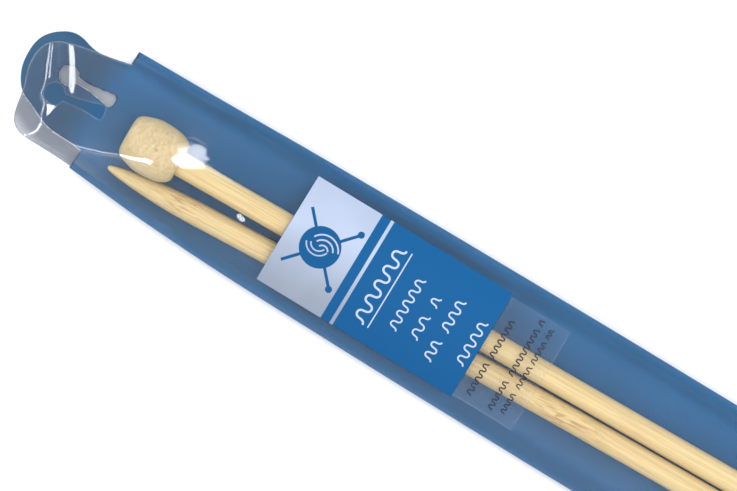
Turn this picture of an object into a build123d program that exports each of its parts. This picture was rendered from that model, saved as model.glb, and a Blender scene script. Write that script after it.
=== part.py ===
from build123d import *
import math
import os

# A pair of straight single-point knitting needles, lying head to tip in the
# clear-fronted hanging wallet that they are sold and stored in.
#
# Frame: millimetres. The origin is the middle of the wallet's length, on the table.
# +X runs from the hang tongue to the welded bottom edge, +Y across the wallet,
# +Z up out of the clear front. The blue back sheet lies on Z = 0.
# Places along the wallet are given as x from its mouth; ORIGIN_X moves them
# into the part frame.

# ---------------------------------------------------------------- needle sizes
SHAFT_R = 6.5 / 2        # half the needle gauge
NEEDLE_L = 350.0         # overall, outer face of the knob to the tip
TIP_L = 25.0             # length of the ogive
# ogive: distance back from the tip, radius
TIP_PROFILE = [
    (1.0, 0.82), (3.7, 1.42), (7.6, 2.02), (11.5, 2.45),
    (15.5, 2.83), (19.4, 3.08), (TIP_L, SHAFT_R),
]
TIP_CAP_R, TIP_CAP_BACK = 0.52, 0.26    # point on the blunt cap: radius, distance from the tip
TENON_R = 5.0 / 2        # turned spigot glued into the knob
TENON_L = 10.0
KNOB_L = 15.8            # knob, outer face to the shoulder on the shaft
# knob: distance from the outer face, radius
KNOB_PROFILE = [
    (0.0, 4.6), (0.35, 5.35), (1.0, 5.95), (2.1, 6.5), (3.2, 6.88), (4.2, 7.2),
    (5.3, 7.48), (6.4, 7.62), (7.6, 7.66), (9.0, 7.62), (10.5, 7.5), (12.0, 7.3),
    (13.2, 6.98), (14.3, 6.45), (15.2, 5.75), (KNOB_L, 5.05),
]

# ---------------------------------------------------------------- needle places
KNOB_Z, KNOB_REF = 8.2, 8.0     # height of the axes, this far from the knob's outer face
TIP_Z, TIP_REF = 4.15, 18.5     # height of the axes, this far back from the tip
SLOPE = (KNOB_Z - TIP_Z) / (NEEDLE_L - TIP_REF - KNOB_REF)

# needle A runs straight: x and y of its outer face, and its sideways slope
A_X, A_Y, A_YAW = 8.9, -1.14, 0.02275
# needle B is slightly bowed: its gap to A is greatest at B_BOW_X less nothing, then
# it falls away from A by B_BOW times the square of the distance from there
B_TIP_X = 8.6
B_END_X = B_TIP_X + NEEDLE_L
B_GAP, B_BOW_X, B_BOW = 6.97, 174.0, 1.18e-4

# ---------------------------------------------------------------- wallet sizes
TONGUE_TIP = -25.4       # hang tongue tip
BODY_L = 370.2           # mouth to bottom edge
WELD_L = 4.0             # flat weld across the bottom
WELD_X = BODY_L - WELD_L
HALF_W = 20.95           # half width of the wallet body
CORNER_R = 4.0           # bottom corners of the outline
BACK_T = 0.4             # blue back sheet
FILM_T = 0.3             # clear front sheet
LABEL_T = 0.1
LABEL_GAP = 0.02         # between the clear front and a label
LABEL_R = 0.6            # corners of the labels
LABEL_SPREAD = 0.93      # share of the arch width that a label is drawn over
SKIN = 0.05              # trimmed off the underside so that the rest face is flat
FLANGE = 1.8             # weld band along each long edge
SEAM_Z = 4.2             # underside of the weld band above the table
FILM_Z = SEAM_Z + BACK_T     # underside of the clear front's weld bands
CROWN_Z = 17.0           # outside of the clear front at its crown
BULGE_END = 350.6        # the bulge starts closing towards the bottom weld here
MIN_ARCH = 0.001         # rise left in the clear front's arch at the bottom weld
FLAT_SHARE = 0.69        # flat middle of the back sheet, share of the inner width
CURL_POWER, CURL_BLEND, CURL_BLEND_POWER = 2.3, 0.15, 6    # shape of its curled sides
ARCH_POWER = 3.7         # squareness of the clear front's arch
BACK_CLOSE_POWER, FRONT_CLOSE_POWER = 1.35, 2.5    # how late each sheet closes
EXTRA = 1.2              # the sheets are made wider than their outline and trimmed to it
END_EXTRA = 1.5          # the same beyond the tongue tip
WELD_EXTRA = 2.0         # the same beyond the bottom edge
LABEL_EXTRA = 3.0        # the same beyond each end of a label
TRIM_Z, TRIM_H = -5, 40  # start and height of the prisms that trim the sheets

ORIGIN_X = -(TONGUE_TIP + BODY_L) / 2

# half widths of the body outline: x, width on the +Y side, width on the -Y side
BODY_WIDTHS = [
    (0.0, 18.9, 16.8), (26.0, 19.35, 18.9), (53.0, 20.0, 20.0),
    (79.0, 20.4, 20.4), (105.0, 20.65, 20.7), (153.0, 20.92, 20.92),
    (220.0, HALF_W, HALF_W), (300.0, HALF_W, HALF_W), (340.0, HALF_W, HALF_W),
]

# outlines of the blue hang tongue and of the clear tongue above it: x, y
TONGUE = [
    (0.0, 15.0), (-2.6, 14.45), (-5.7, 13.75), (-8.85, 13.25), (-11.6, 13.45),
    (-14.3, 14.2), (-16.6, 14.45), (-18.9, 13.95), (-21.1, 12.7), (-23.0, 11.0),
    (-24.5, 8.9), (-25.25, 6.4), (TONGUE_TIP, 3.8), (-25.15, 0.9), (-24.4, -1.6),
    (-23.1, -4.0), (-21.4, -5.9), (-19.4, -7.0), (-17.0, -7.95), (-14.6, -9.1),
    (-12.2, -10.1), (-9.5, -10.75), (-5.7, -10.95), (-2.6, -11.05), (0.0, -11.35),
]
FLAP = [
    (0.0, 14.7), (-4.0, 13.8), (-8.0, 13.1), (-12.0, 12.35), (-15.5, 11.45),
    (-18.6, 10.3), (-20.9, 8.5), (-22.1, 6.0), (-22.4, 3.05), (-22.1, 0.4),
    (-21.4, -2.0), (-20.6, -4.2), (-20.0, -6.8), (-19.6, -9.6), (-19.0, -12.2),
    (-17.9, -14.1), (-16.0, -15.3), (-13.5, -15.75), (-10.0, -15.85), (-5.7, -16.0),
    (-2.6, -16.15), (0.0, -16.3),
]

# keyholes: x and y of the round end, turn in degrees
BACK_HOLE = (-13.0, 3.95, 0.0)
FLAP_HOLE = (-12.6, -2.0, 9.0)
HOLE_R = 2.8
SLOT_HALF_W = 0.85       # where the slot leaves the round end
# +Y edge of the slot, then its rounded end: x and y from the centre of the round end
SLOT_EDGE = [(4.2, 0.86), (9.5, 1.25), (12.8, 1.9)]
SLOT_CORNER, SLOT_END = (13.72, 1.52), (14.1, 0.6)

# stations along the wallet where the sections are drawn
BODY_START_X = [0, 13, 26, 40, 53, 66, 79, 92, 105, 130, 153, 200]
OUTLINE_X = [*BODY_START_X, 260, 320, BODY_L - CORNER_R]
FRONT_X = [*BODY_START_X, 250, 300, BULGE_END]
BACK_X = [TONGUE_TIP - END_EXTRA, -12, *FRONT_X]
CLOSING_X = [BULGE_END, 353, 355.5, 358, 360.5, 363, WELD_X]
FLAP_X = [TONGUE_TIP - END_EXTRA, -19, -12, -6, 0]


# ---------------------------------------------------------------- small maths
def table(xs, ys, x):
    """Smooth monotone interpolation of a table, held constant past its ends."""
    if x <= xs[0]:
        return ys[0]
    if x >= xs[-1]:
        return ys[-1]
    last = len(xs) - 1
    i = max(k for k in range(last) if xs[k] <= x)
    steps = [xs[k + 1] - xs[k] for k in range(last)]
    slopes = [(ys[k + 1] - ys[k]) / steps[k] for k in range(last)]

    def slope(k):
        if k == 0:
            return slopes[0]
        if k == last:
            return slopes[-1]
        before, after = slopes[k - 1], slopes[k]
        if before * after <= 0:
            return 0.0
        return 2 * before * after / (before + after)

    t = (x - xs[i]) / steps[i]
    return (
        (2 * t**3 - 3 * t**2 + 1) * ys[i]
        + (t**3 - 2 * t**2 + t) * slope(i) * steps[i]
        + (-2 * t**3 + 3 * t**2) * ys[i + 1]
        + (t**3 - t**2) * slope(i + 1) * steps[i]
    )


def ease(t):
    t = min(max(t, 0.0), 1.0)
    return t * t * (3 - 2 * t)


def side_widths(x):
    """Half widths of the body at x, on the +Y side and on the -Y side."""
    xs, plus, minus = zip(*BODY_WIDTHS)
    return table(xs, plus, x), table(xs, minus, x)


def widths(x):
    """Centre, half width, and half width inside the weld bands at x."""
    plus, minus = side_widths(x)
    half = (plus + minus) / 2
    return (plus - minus) / 2, half, half - FLANGE


def offset_up(points, distance):
    """Offset a y-z polyline, drawn towards +Y, to its upper side."""
    out = []
    for i, (y, z) in enumerate(points):
        before, after = points[max(i - 1, 0)], points[min(i + 1, len(points) - 1)]
        dy, dz = after[0] - before[0], after[1] - before[1]
        length = math.hypot(dy, dz)
        out.append((y - dz / length * distance, z + dy / length * distance))
    return out


# ---------------------------------------------------------------- needles
def rod(start, direction, radius, length):
    cylinder = Cylinder(radius, length, align=(Align.CENTER, Align.CENTER, Align.MIN))
    return Plane(origin=start, z_dir=direction) * cylinder


def knob(outer, direction):
    """Turned knob, drawn from its outer face towards the shaft, blind bored."""
    points = [(radius, z) for z, radius in KNOB_PROFILE]
    bore_z = KNOB_L - TENON_L
    corners = [points[-1], (TENON_R, KNOB_L), (TENON_R, bore_z), (0, bore_z), (0, 0)]
    face = make_face([
        Line((0, 0), points[0]),
        Spline(*points, tangents=[(0.6, 0.8), (-0.55, 0.84)]),
        *[Line(start, end) for start, end in zip(corners, corners[1:])],
    ])
    return Plane(origin=outer, z_dir=direction) * revolve(Plane.XZ * face, Axis.Z)


def tenon(outer, direction):
    """Spigot inside the knob, up to the shoulder at the knob's inner face."""
    return rod(outer + direction * (KNOB_L - TENON_L), direction, TENON_R, TENON_L)


def ogive(start, direction):
    """Tapered blunt point, drawn from the full shaft to the tip."""
    points = [(radius, TIP_L - back) for back, radius in TIP_PROFILE[::-1]]
    tip = (0, TIP_L)
    side = Spline(*points, tangents=[(0, 1), (-0.26, 1)])
    cap = Spline(
        points[-1], (TIP_CAP_R, TIP_L - TIP_CAP_BACK), tip, tangents=[(-0.26, 1), (-1, 0)]
    )
    face = make_face([Line((0, 0), (SHAFT_R, 0)), side, cap, Line(tip, (0, 0))])
    return Plane(origin=start, z_dir=direction) * revolve(Plane.XZ * face, Axis.Z)


def needle_a():
    """Shaft and knob of the straight needle, knob at the mouth."""
    direction = Vector(1, A_YAW, -SLOPE).normalized()
    outer = Vector(ORIGIN_X + A_X, A_Y, KNOB_Z + KNOB_REF * SLOPE)
    shoulder = outer + direction * KNOB_L
    taper = outer + direction * (NEEDLE_L - TIP_L)
    straight = rod(shoulder, direction, SHAFT_R, (taper - shoulder).length)
    shaft = tenon(outer, direction) + straight + ogive(taper, direction)
    return shaft, knob(outer, direction)


def b_point(x):
    """Point on the axis of needle B."""
    y = A_Y + A_YAW * (x - A_X) - B_GAP - B_BOW * (x - B_BOW_X) ** 2
    z = KNOB_Z + SLOPE * (x - (B_END_X - KNOB_REF))
    return Vector(ORIGIN_X + x, y, z)


def needle_b():
    """Shaft and knob of the bowed needle, knob at the bottom weld."""
    shoulder_x = B_END_X - KNOB_L
    taper_x = B_TIP_X + TIP_L
    shoulder, taper = b_point(shoulder_x), b_point(taper_x)
    path = ThreePointArc(shoulder, b_point((shoulder_x + taper_x) / 2), taper)
    from_knob = path % 0
    outer = shoulder - from_knob * KNOB_L
    bowed = sweep(Plane(origin=shoulder, z_dir=from_knob) * Circle(SHAFT_R), path=path)
    shaft = tenon(outer, from_knob) + bowed + ogive(taper, path % 1)
    return shaft, knob(outer, from_knob)


# ---------------------------------------------------------------- sheet sections
def place(x, point):
    return (ORIGIN_X + x, point[0], point[1])


def line_at(x, start, end):
    return Line(place(x, start), place(x, end))


def spline_at(x, points):
    return Spline(*[place(x, point) for point in points])


def section(x, pieces, thickness):
    """Closed wire of a sheet at x: pieces are the lower edges from -Y to +Y.

    A piece with two points is a straight run, any other is a spline. The upper
    edge stands straight above both ends of each piece.
    """
    def raised(point):
        return (point[0], point[1] + thickness)

    low, high = [], []
    for points in pieces:
        start, end = points[0], points[-1]
        if len(points) == 2:
            low.append(line_at(x, start, end))
            high.append(line_at(x, raised(start), raised(end)))
        else:
            upper = [raised(start), *offset_up(points, thickness)[1:-1], raised(end)]
            low.append(spline_at(x, points))
            high.append(spline_at(x, upper))
    first, last = pieces[0][0], pieces[-1][-1]
    end_edge = line_at(x, last, raised(last))
    start_edge = line_at(x, first, raised(first))
    return Wire(low + [end_edge] + high[::-1] + [start_edge])


def with_bands(x, z, middle):
    """Add the flat weld bands at height z to both sides of the middle pieces."""
    centre, half, inner = widths(x)
    return [
        [(centre - half - EXTRA, z), (centre - inner, z)],
        *middle,
        [(centre + inner, z), (centre + half + EXTRA, z)],
    ]


def arch(x, crown, count, spread=1.0):
    """Underside of the clear front at x, over a share of its inner width."""
    centre, _, inner = widths(x)
    points = []
    for k in range(count + 1):
        across = -spread * math.cos(math.pi * k / count)
        rise = (crown - FILM_T - FILM_Z) * (1 - abs(across) ** ARCH_POWER)
        points.append((centre + inner * across, FILM_Z + rise))
    return points


def closing(x):
    """Share of the way from the open bulge to the flat weld."""
    return ease((x - BULGE_END) / (WELD_X - BULGE_END))


def back_section(x):
    """Back sheet: weld bands, curled sides, flat middle."""
    bottom = -SKIN + (SEAM_Z + SKIN) * closing(x) ** BACK_CLOSE_POWER
    centre, _, inner = widths(x)
    flat = FLAT_SHARE * inner
    count = 8
    curl = []
    for k in range(count + 1):
        y = -inner + (inner - flat) * k / count
        s = 1 - k / count               # 1 at the weld band, 0 at the flat
        share = s**CURL_POWER * (1 - CURL_BLEND * s**CURL_BLEND_POWER) / (1 - CURL_BLEND)
        curl.append((centre + y, bottom + (SEAM_Z - bottom) * share))
    # the ends meet the neighbouring pieces exactly
    curl[0], curl[-1] = (centre - inner, SEAM_Z), (centre - flat, bottom)
    mirrored = [(2 * centre - y, z) for y, z in curl[::-1]]
    middle = [curl, [(centre - flat, bottom), (centre + flat, bottom)], mirrored]
    return section(x, with_bands(x, SEAM_Z, middle), BACK_T)


def front_section(x):
    """Clear front: weld bands and one full arch."""
    closed_crown = FILM_Z + FILM_T + MIN_ARCH
    crown = CROWN_Z + (closed_crown - CROWN_Z) * closing(x) ** FRONT_CLOSE_POWER
    return section(x, with_bands(x, FILM_Z, [arch(x, crown, 28)]), FILM_T)


def label_section(x):
    """Label: a thin band that follows the arch of the clear front."""
    low = offset_up(arch(x, CROWN_Z, 24, LABEL_SPREAD), FILM_T + LABEL_GAP)
    high = offset_up(low, LABEL_T)
    return Wire([
        spline_at(x, low),
        line_at(x, low[-1], high[-1]),
        spline_at(x, high),
        line_at(x, low[0], high[0]),
    ])


def loft_sheet(stations, section_at):
    return Solid.make_loft([section_at(x) for x in stations], False)


def weld_slab(z, thickness):
    """Flat weld across the bottom."""
    return Pos(ORIGIN_X + WELD_X, 0, z) * Box(
        WELD_L + WELD_EXTRA, 2 * (HALF_W + EXTRA), thickness,
        align=(Align.MIN, Align.CENTER, Align.MIN),
    )


# ---------------------------------------------------------------- trimming prisms
def prism(plan, x=0.0, y=0.0, turn=0.0):
    return Pos(ORIGIN_X + x, y, TRIM_Z) * Rot(0, 0, turn) * extrude(plan, TRIM_H)


def outline(tongue=None):
    """Plan outline of the body, with its tongue if given."""
    sides = [(x, *side_widths(x)) for x in OUTLINE_X]
    top = [(x, plus) for x, plus, _ in sides]
    bottom = [(x, -minus) for x, _, minus in sides]
    inset = CORNER_R * (1 - math.sin(math.pi / 4))
    top_y, bottom_y = top[-1][1], bottom[-1][1]
    top_end, bottom_end = (BODY_L, top_y - CORNER_R), (BODY_L, bottom_y + CORNER_R)
    edges = [
        Spline(*top),
        ThreePointArc(top[-1], (BODY_L - inset, top_y - inset), top_end),
        Line(top_end, bottom_end),
        ThreePointArc(bottom_end, (BODY_L - inset, bottom_y + inset), bottom[-1]),
        Spline(*bottom[::-1]),
    ]
    if tongue:
        edges.append(Line(bottom[0], tongue[-1]))
        edges.append(Spline(*tongue[::-1]))
        edges.append(Line(tongue[0], top[0]))
    else:
        edges.append(Line(bottom[0], top[0]))
    return prism(make_face(edges))


def keyhole(x, y, turn):
    """Round hole with a slot that widens towards the body."""
    def flip(point):
        return (point[0], -point[1])

    upper = [(math.sqrt(HOLE_R**2 - SLOT_HALF_W**2), SLOT_HALF_W), *SLOT_EDGE]
    lower = [flip(point) for point in upper]
    start = (0, SLOT_HALF_W)
    slot = make_face([
        Line(flip(start), lower[0]),
        Spline(*lower, tangents=[(1, 0), (1, -0.05)]),
        ThreePointArc(lower[-1], flip(SLOT_CORNER), flip(SLOT_END)),
        Line(flip(SLOT_END), SLOT_END),
        ThreePointArc(SLOT_END, SLOT_CORNER, upper[-1]),
        Spline(*upper[::-1], tangents=[(-1, -0.05), (-1, 0)]),
        Line(upper[0], start),
        Line(start, flip(start)),
    ])
    return prism(Circle(HOLE_R) + slot, x, y, turn)


# ---------------------------------------------------------------- wallet pieces
def back_sheet():
    raw = loft_sheet(BACK_X, back_section) + loft_sheet(CLOSING_X, back_section)
    raw = raw + weld_slab(SEAM_Z, BACK_T)
    sheet = (raw & outline(TONGUE)) - keyhole(*BACK_HOLE)
    above_table = Box(500, 100, 60, align=(Align.CENTER, Align.CENTER, Align.MIN))
    return sheet & above_table


def front_film():
    raw = loft_sheet(FRONT_X, front_section) + loft_sheet(CLOSING_X, front_section)
    raw = raw + weld_slab(FILM_Z, FILM_T)
    return (raw & outline()) - keyhole(*FLAP_HOLE)


def front_flap():
    face = make_face([Spline(*FLAP), Line(FLAP[-1], FLAP[0])])
    return (loft_sheet(FLAP_X, front_section) & prism(face)) - keyhole(*FLAP_HOLE)


def sticker(x_from, x_to, y_from, y_to):
    """Label on the clear front, given by its limits in plan."""
    mid_x = (x_from + x_to) / 2
    sheet = loft_sheet([x_from - LABEL_EXTRA, mid_x, x_to + LABEL_EXTRA], label_section)
    plan = Pos(mid_x, (y_from + y_to) / 2) * RectangleRounded(
        x_to - x_from, y_to - y_from, LABEL_R
    )
    return sheet & prism(plan)


# ---------------------------------------------------------------- write
a_shaft, a_knob = needle_a()
b_shaft, b_knob = needle_b()
NODES = {
    "needle_a_shaft": a_shaft,
    "needle_a_head": a_knob,
    "needle_b_shaft": b_shaft,
    "needle_b_head": b_knob,
    "back_sheet": back_sheet(),
    "front_film": front_film(),
    "front_flap": front_flap(),
    "size_label": sticker(x_from=57.5, x_to=117.3, y_from=-16.2, y_to=15.4),
    "info_sticker": sticker(x_from=117.6, x_to=135.5, y_from=-15.5, y_to=14.5),
}
os.makedirs("parts", exist_ok=True)
for name, shape in NODES.items():
    export_step(shape, f"parts/{name}.step")
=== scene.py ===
"""A pair of bamboo knitting needles in a flat vinyl wallet.

The wallet lies on its blue back sheet with the clear sheet facing +Z. Plan places are in mm
from the mouth (x = 0): the closed end is towards +X and the tongues stick out towards -X.
Needle a has its knob at the mouth, needle b has its knob at the closed end and lies on
the -Y side of needle a. Meshes are scaled to metres as they are made.
"""
import math

import bmesh
import bpy
import numpy as np
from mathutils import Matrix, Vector
from mathutils.geometry import delaunay_2d_cdt


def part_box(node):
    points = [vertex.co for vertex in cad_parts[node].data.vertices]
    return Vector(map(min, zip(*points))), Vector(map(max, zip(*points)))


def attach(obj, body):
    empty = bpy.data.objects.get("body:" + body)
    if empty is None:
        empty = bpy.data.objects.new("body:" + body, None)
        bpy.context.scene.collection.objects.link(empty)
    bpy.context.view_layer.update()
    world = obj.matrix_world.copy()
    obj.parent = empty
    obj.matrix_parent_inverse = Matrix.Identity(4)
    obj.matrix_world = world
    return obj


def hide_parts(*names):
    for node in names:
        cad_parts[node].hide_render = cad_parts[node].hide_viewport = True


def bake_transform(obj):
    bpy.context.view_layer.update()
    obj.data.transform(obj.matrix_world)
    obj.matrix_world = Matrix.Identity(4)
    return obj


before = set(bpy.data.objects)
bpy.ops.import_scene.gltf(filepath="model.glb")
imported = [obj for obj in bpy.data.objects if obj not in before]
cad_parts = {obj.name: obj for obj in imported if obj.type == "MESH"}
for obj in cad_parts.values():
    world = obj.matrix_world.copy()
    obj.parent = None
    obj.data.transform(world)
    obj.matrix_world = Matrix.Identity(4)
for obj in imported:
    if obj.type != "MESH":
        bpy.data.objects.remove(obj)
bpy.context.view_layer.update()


MM = 0.001

# ------------------------------------------------------------------ needles, mm
NEEDLE_L = 350.0
# distance from the point, radius
TIP_PROFILE = [
    (0.0, 0.02), (0.08, 0.30), (0.26, 0.52), (0.6, 0.71), (1.0, 0.82), (3.7, 1.42), (7.6, 2.02),
    (11.5, 2.45), (15.5, 2.83), (19.4, 3.08), (25.0, 3.25),
]
TIP_L, SHAFT_R = TIP_PROFILE[-1]
# distance from the knob's outer face, radius
KNOB_PROFILE = [
    (0.0, 4.6), (0.35, 5.35), (1.0, 5.95), (2.1, 6.5), (3.2, 6.88), (4.2, 7.2),
    (5.3, 7.48), (6.4, 7.62), (7.6, 7.66), (9.0, 7.62), (10.5, 7.5), (12.0, 7.3),
    (13.2, 6.98), (14.3, 6.45), (15.2, 5.75), (15.8, 5.05),
]
KNOB_L = KNOB_PROFILE[-1][0]
# axis height near the knob and near the point, and how far in from each end it is taken
KNOB_Z, KNOB_STATION = 8.2, 8.0
TIP_Z, TIP_STATION = 4.15, 18.5
PITCH = (KNOB_Z - TIP_Z) / (NEEDLE_L - TIP_STATION - KNOB_STATION)
A_FACE_X, A_FACE_Y = 8.9, -1.14
YAW = 0.02275
B_TIP_X = 8.6
B_FACE_X = B_TIP_X + NEEDLE_L
# needle b: widest distance from a's axis, the x where it is, and how it bows away there
B_GAP, B_GAP_X, B_BOW = 6.97, 174.0, 1.18e-4

# ------------------------------------------------------------------ wallet, mm
BODY_L = 370.2
END_WELD_X = BODY_L - 4.0
CORNER_R = 4.0
BACK_T = 0.38
FILM_T = 0.3
FLANGE = 1.8  # width of the side welds
SEAM_Z = 4.2  # underside of the blue sheet at the welds
FILM_SEAM_Z = SEAM_Z + BACK_T + 0.02
BULGE_END = 350.6
LABEL_LIFT = 0.03  # labels above the clear sheet
# stations along the wallet, and how far the +Y and -Y edges stand from y = 0
EDGE_X = [0.0, 26.0, 53.0, 79.0, 105.0, 153.0, 220.0, 300.0, 340.0]
EDGE_TOP = [18.9, 19.35, 20.0, 20.4, 20.65, 20.92, 20.95, 20.95, 20.95]
EDGE_BOTTOM = [16.8, 18.9, 20.0, 20.4, 20.7, 20.92, 20.95, 20.95, 20.95]
# x, y of the blue tongue's edge
TONGUE = [
    (0.0, 15.0), (-2.6, 14.45), (-5.7, 13.75), (-8.85, 13.25), (-11.6, 13.45),
    (-14.3, 14.2), (-16.6, 14.45), (-18.9, 13.95), (-21.1, 12.7), (-23.0, 11.0),
    (-24.5, 8.9), (-25.25, 6.4), (-25.4, 3.8), (-25.15, 0.9), (-24.4, -1.6),
    (-23.1, -4.0), (-21.4, -5.9), (-19.4, -7.0), (-17.0, -7.95), (-14.6, -9.1),
    (-12.2, -10.1), (-9.5, -10.75), (-5.7, -10.95), (-2.6, -11.05), (0.0, -11.35),
]
# x, y of the clear flap's edge
FLAP = [
    (0.0, 14.7), (-4.0, 13.8), (-8.0, 13.1), (-12.0, 12.35), (-15.5, 11.45),
    (-18.6, 10.3), (-20.9, 8.5), (-22.1, 6.0), (-22.4, 3.05), (-22.1, 0.4),
    (-21.4, -2.0), (-20.6, -4.2), (-20.0, -6.8), (-19.6, -9.6), (-19.0, -12.2),
    (-17.9, -14.1), (-16.0, -15.3), (-13.5, -15.75), (-10.0, -15.85), (-5.7, -16.0),
    (-2.6, -16.15), (0.0, -16.3),
]
# keyhole slots: a round end at this place, with a slot towards +X
HOLE_R, HOLE_L, SLOT_HALF = 2.8, 14.1, 0.85
BACK_HOLE = (-13.0, 3.95)
FLAP_HOLE, FLAP_HOLE_TURN = (-12.6, -2.0), 9.0

# folds in the clear sheet: centre line, height, half width, and the strength of the painted
# highlight along the fold
FOLDS = [
    ([(-16.3, -0.8), (-15.5, -4.4), (-13.5, -5.9), (-13.0, -8.4), (-11.8, -11.2), (-12.0, -13.2),
      (-14.1, -15.8)], 0.16, 0.5, 0.16),
    ([(-4.2, -11.6), (-0.3, -11.1), (5.6, -9.2), (9.9, -7.4), (18.1, -4.9)], 0.18, 0.55, 0.16),
    ([(-19.6, 10.6), (-17.5, 8.6), (-15.6, 5.2)], 0.08, 0.5, 0.04),
    ([(-23.0, 4.0), (-20.5, 6.5), (-18.0, 9.8)], 0.08, 0.6, 0.04),
]
# painted highlights: patches of the creased sheet whose gloss normal is turned half way between
# lamp and eye, so they catch the lamp: plan corners, strength
GLINTS = [
    ([(-16.3, 10.9), (-15.1, 11.2), (-13.2, 8.9), (-11.6, 6.5), (-9.6, 3.6), (-8.4, 0.9),
      (-8.7, 0.2), (-9.9, 0.9), (-11.9, 4.2), (-13.6, 7.0), (-15.3, 9.4)], 0.75),
    ([(-20.75, 8.75), (-20.4, 8.8), (-18.3, 4.6), (-16.2, -0.2), (-16.5, -0.5), (-18.8, 4.2)],
     0.45),
    ([(-20.1, 8.9), (-19.7, 8.9), (-17.6, 4.7), (-15.6, 0.9), (-16.1, 0.6), (-18.0, 4.5)], 0.4),
    ([(-16.5, -0.3), (-16.1, -0.4), (-15.4, -3.9), (-13.4, -5.2), (-12.8, -7.7), (-11.7, -10.4),
      (-12.1, -10.4), (-13.2, -7.6), (-13.8, -5.4), (-15.7, -4.0)], 0.35),
    ([(-12.96, -5.3), (-10.5, -4.6), (-11.4, -8.1)], 1.0),
    ([(-1.9, 0.75), (-0.9, 1.45), (0.4, 1.05), (0.55, 0.45), (-0.7, 0.6)], 0.9),
    ([(-12.1, -10.4), (-11.6, -10.4), (-11.7, -12.6), (-12.7, -14.4), (-14.3, -15.6),
      (-14.5, -15.2), (-13.1, -14.1), (-12.2, -12.6)], 0.85),
    ([(-4.2, -11.25), (-0.2, -10.8), (5.6, -8.9), (10.2, -7.0), (10.2, -6.6), (5.5, -8.5),
      (-0.3, -10.4), (-4.2, -10.95)], 0.3),
    ([(10.2, -7.0), (10.2, -6.6), (14.0, -5.4), (17.0, -4.0), (18.6, -3.8), (18.6, -4.9),
      (16.8, -5.1), (13.8, -6.3)], 0.8),
    ([(12.4, 10.0), (13.0, 10.3), (13.0, 9.9)], 0.35),
    ([(44.4, -4.2), (45.2, -3.7), (46.6, -4.0), (47.4, -4.8), (46.4, -5.35), (45.0, -5.1)], 0.5),
]
# painted highlight: the broad patch where the sheet leaves knob a, over the flattened patch of
# the sheet there
BROAD_GLINT = [
    (22.4, -0.6), (23.6, -1.4), (26.2, -1.2), (28.6, 0.2), (30.8, 1.6), (30.2, 3.0), (31.0, 4.4),
    (29.6, 4.6), (29.0, 6.2), (27.0, 6.4), (25.4, 5.4), (24.2, 4.0), (22.6, 2.6), (23.4, 1.2),
]
KEY_DIR = (0.2731, 0.1773, 0.9455)  # towards the lamp
EYE = (78.2, 6.58, 1085.0)  # the camera, mm from the mouth

# the mouth's place in the frame comes from the frame itself
MOUTH_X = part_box("back_sheet")[0][0] * 1000.0 - min(x for x, y in TONGUE)


# ------------------------------------------------------------------ small maths
def smooth_table(xs, ys, x):
    """Smooth monotone curve through a table, held constant past its ends."""
    xs, ys = np.asarray(xs, float), np.asarray(ys, float)
    span = np.diff(xs)
    rise = np.diff(ys) / span
    slope = np.zeros(len(xs))
    slope[0], slope[-1] = rise[0], rise[-1]
    for k in range(1, len(xs) - 1):
        if rise[k - 1] * rise[k] > 0:
            slope[k] = 2 * rise[k - 1] * rise[k] / (rise[k - 1] + rise[k])
    x = np.clip(np.asarray(x, float), xs[0], xs[-1])
    i = np.clip(np.searchsorted(xs, x, side="right") - 1, 0, len(xs) - 2)
    t = (x - xs[i]) / span[i]
    return (
        (2 * t**3 - 3 * t**2 + 1) * ys[i]
        + (t**3 - 2 * t**2 + t) * slope[i] * span[i]
        + (-2 * t**3 + 3 * t**2) * ys[i + 1]
        + (t**3 - t**2) * slope[i + 1] * span[i]
    )


def ease(t):
    t = np.clip(t, 0.0, 1.0)
    return t * t * (3 - 2 * t)


def sample(grid, xs, ys, x, y):
    """Cubic lookup of grid[xi, yi] at points."""
    def weights(t):
        return [
            -0.5 * t**3 + t**2 - 0.5 * t,
            1.5 * t**3 - 2.5 * t**2 + 1,
            -1.5 * t**3 + 2 * t**2 + 0.5 * t,
            0.5 * t**3 - 0.5 * t**2,
        ]

    at_x = np.clip((x - xs[0]) / (xs[1] - xs[0]), 0, len(xs) - 1.001)
    at_y = np.clip((y - ys[0]) / (ys[1] - ys[0]), 0, len(ys) - 1.001)
    cell_x, cell_y = at_x.astype(int), at_y.astype(int)
    weights_x, weights_y = weights(at_x - cell_x), weights(at_y - cell_y)
    out = 0.0
    for i in range(4):
        row = np.clip(cell_x + i - 1, 0, len(xs) - 1)
        for j in range(4):
            column = np.clip(cell_y + j - 1, 0, len(ys) - 1)
            out = out + weights_x[i] * weights_y[j] * grid[row, column]
    return out


def line_dist(x, y, line):
    """Distance to a polyline, and how far along it the nearest point is (0 to 1)."""
    line = np.array(line, float)
    lengths = np.hypot(*np.diff(line, axis=0).T)
    total = lengths.sum()
    best = np.full(np.shape(x), 1e9)
    along = np.zeros(np.shape(x))
    run = 0.0
    for a, b, length in zip(line[:-1], line[1:], lengths):
        t = ((x - a[0]) * (b[0] - a[0]) + (y - a[1]) * (b[1] - a[1])) / length**2
        t = np.clip(t, 0, 1)
        dist = np.hypot(x - (a[0] + t * (b[0] - a[0])), y - (a[1] + t * (b[1] - a[1])))
        along = np.where(dist < best, (run + t * length) / total, along)
        best = np.minimum(best, dist)
        run += length
    return best, along


def inside(x, y, poly):
    x, y = np.asarray(x, float), np.asarray(y, float)
    result = np.zeros(x.shape, bool)
    for i in range(len(poly)):
        x1, y1 = poly[i]
        x2, y2 = poly[(i + 1) % len(poly)]
        if y1 != y2:
            result ^= ((y1 > y) != (y2 > y)) & (x < (x2 - x1) * (y - y1) / (y2 - y1) + x1)
    return result


def depth_inside(x, y, poly):
    """Distance to a closed outline, negative outside it."""
    dist, _ = line_dist(x, y, list(poly) + [poly[0]])
    return np.where(inside(x, y, poly), dist, -dist)


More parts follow.
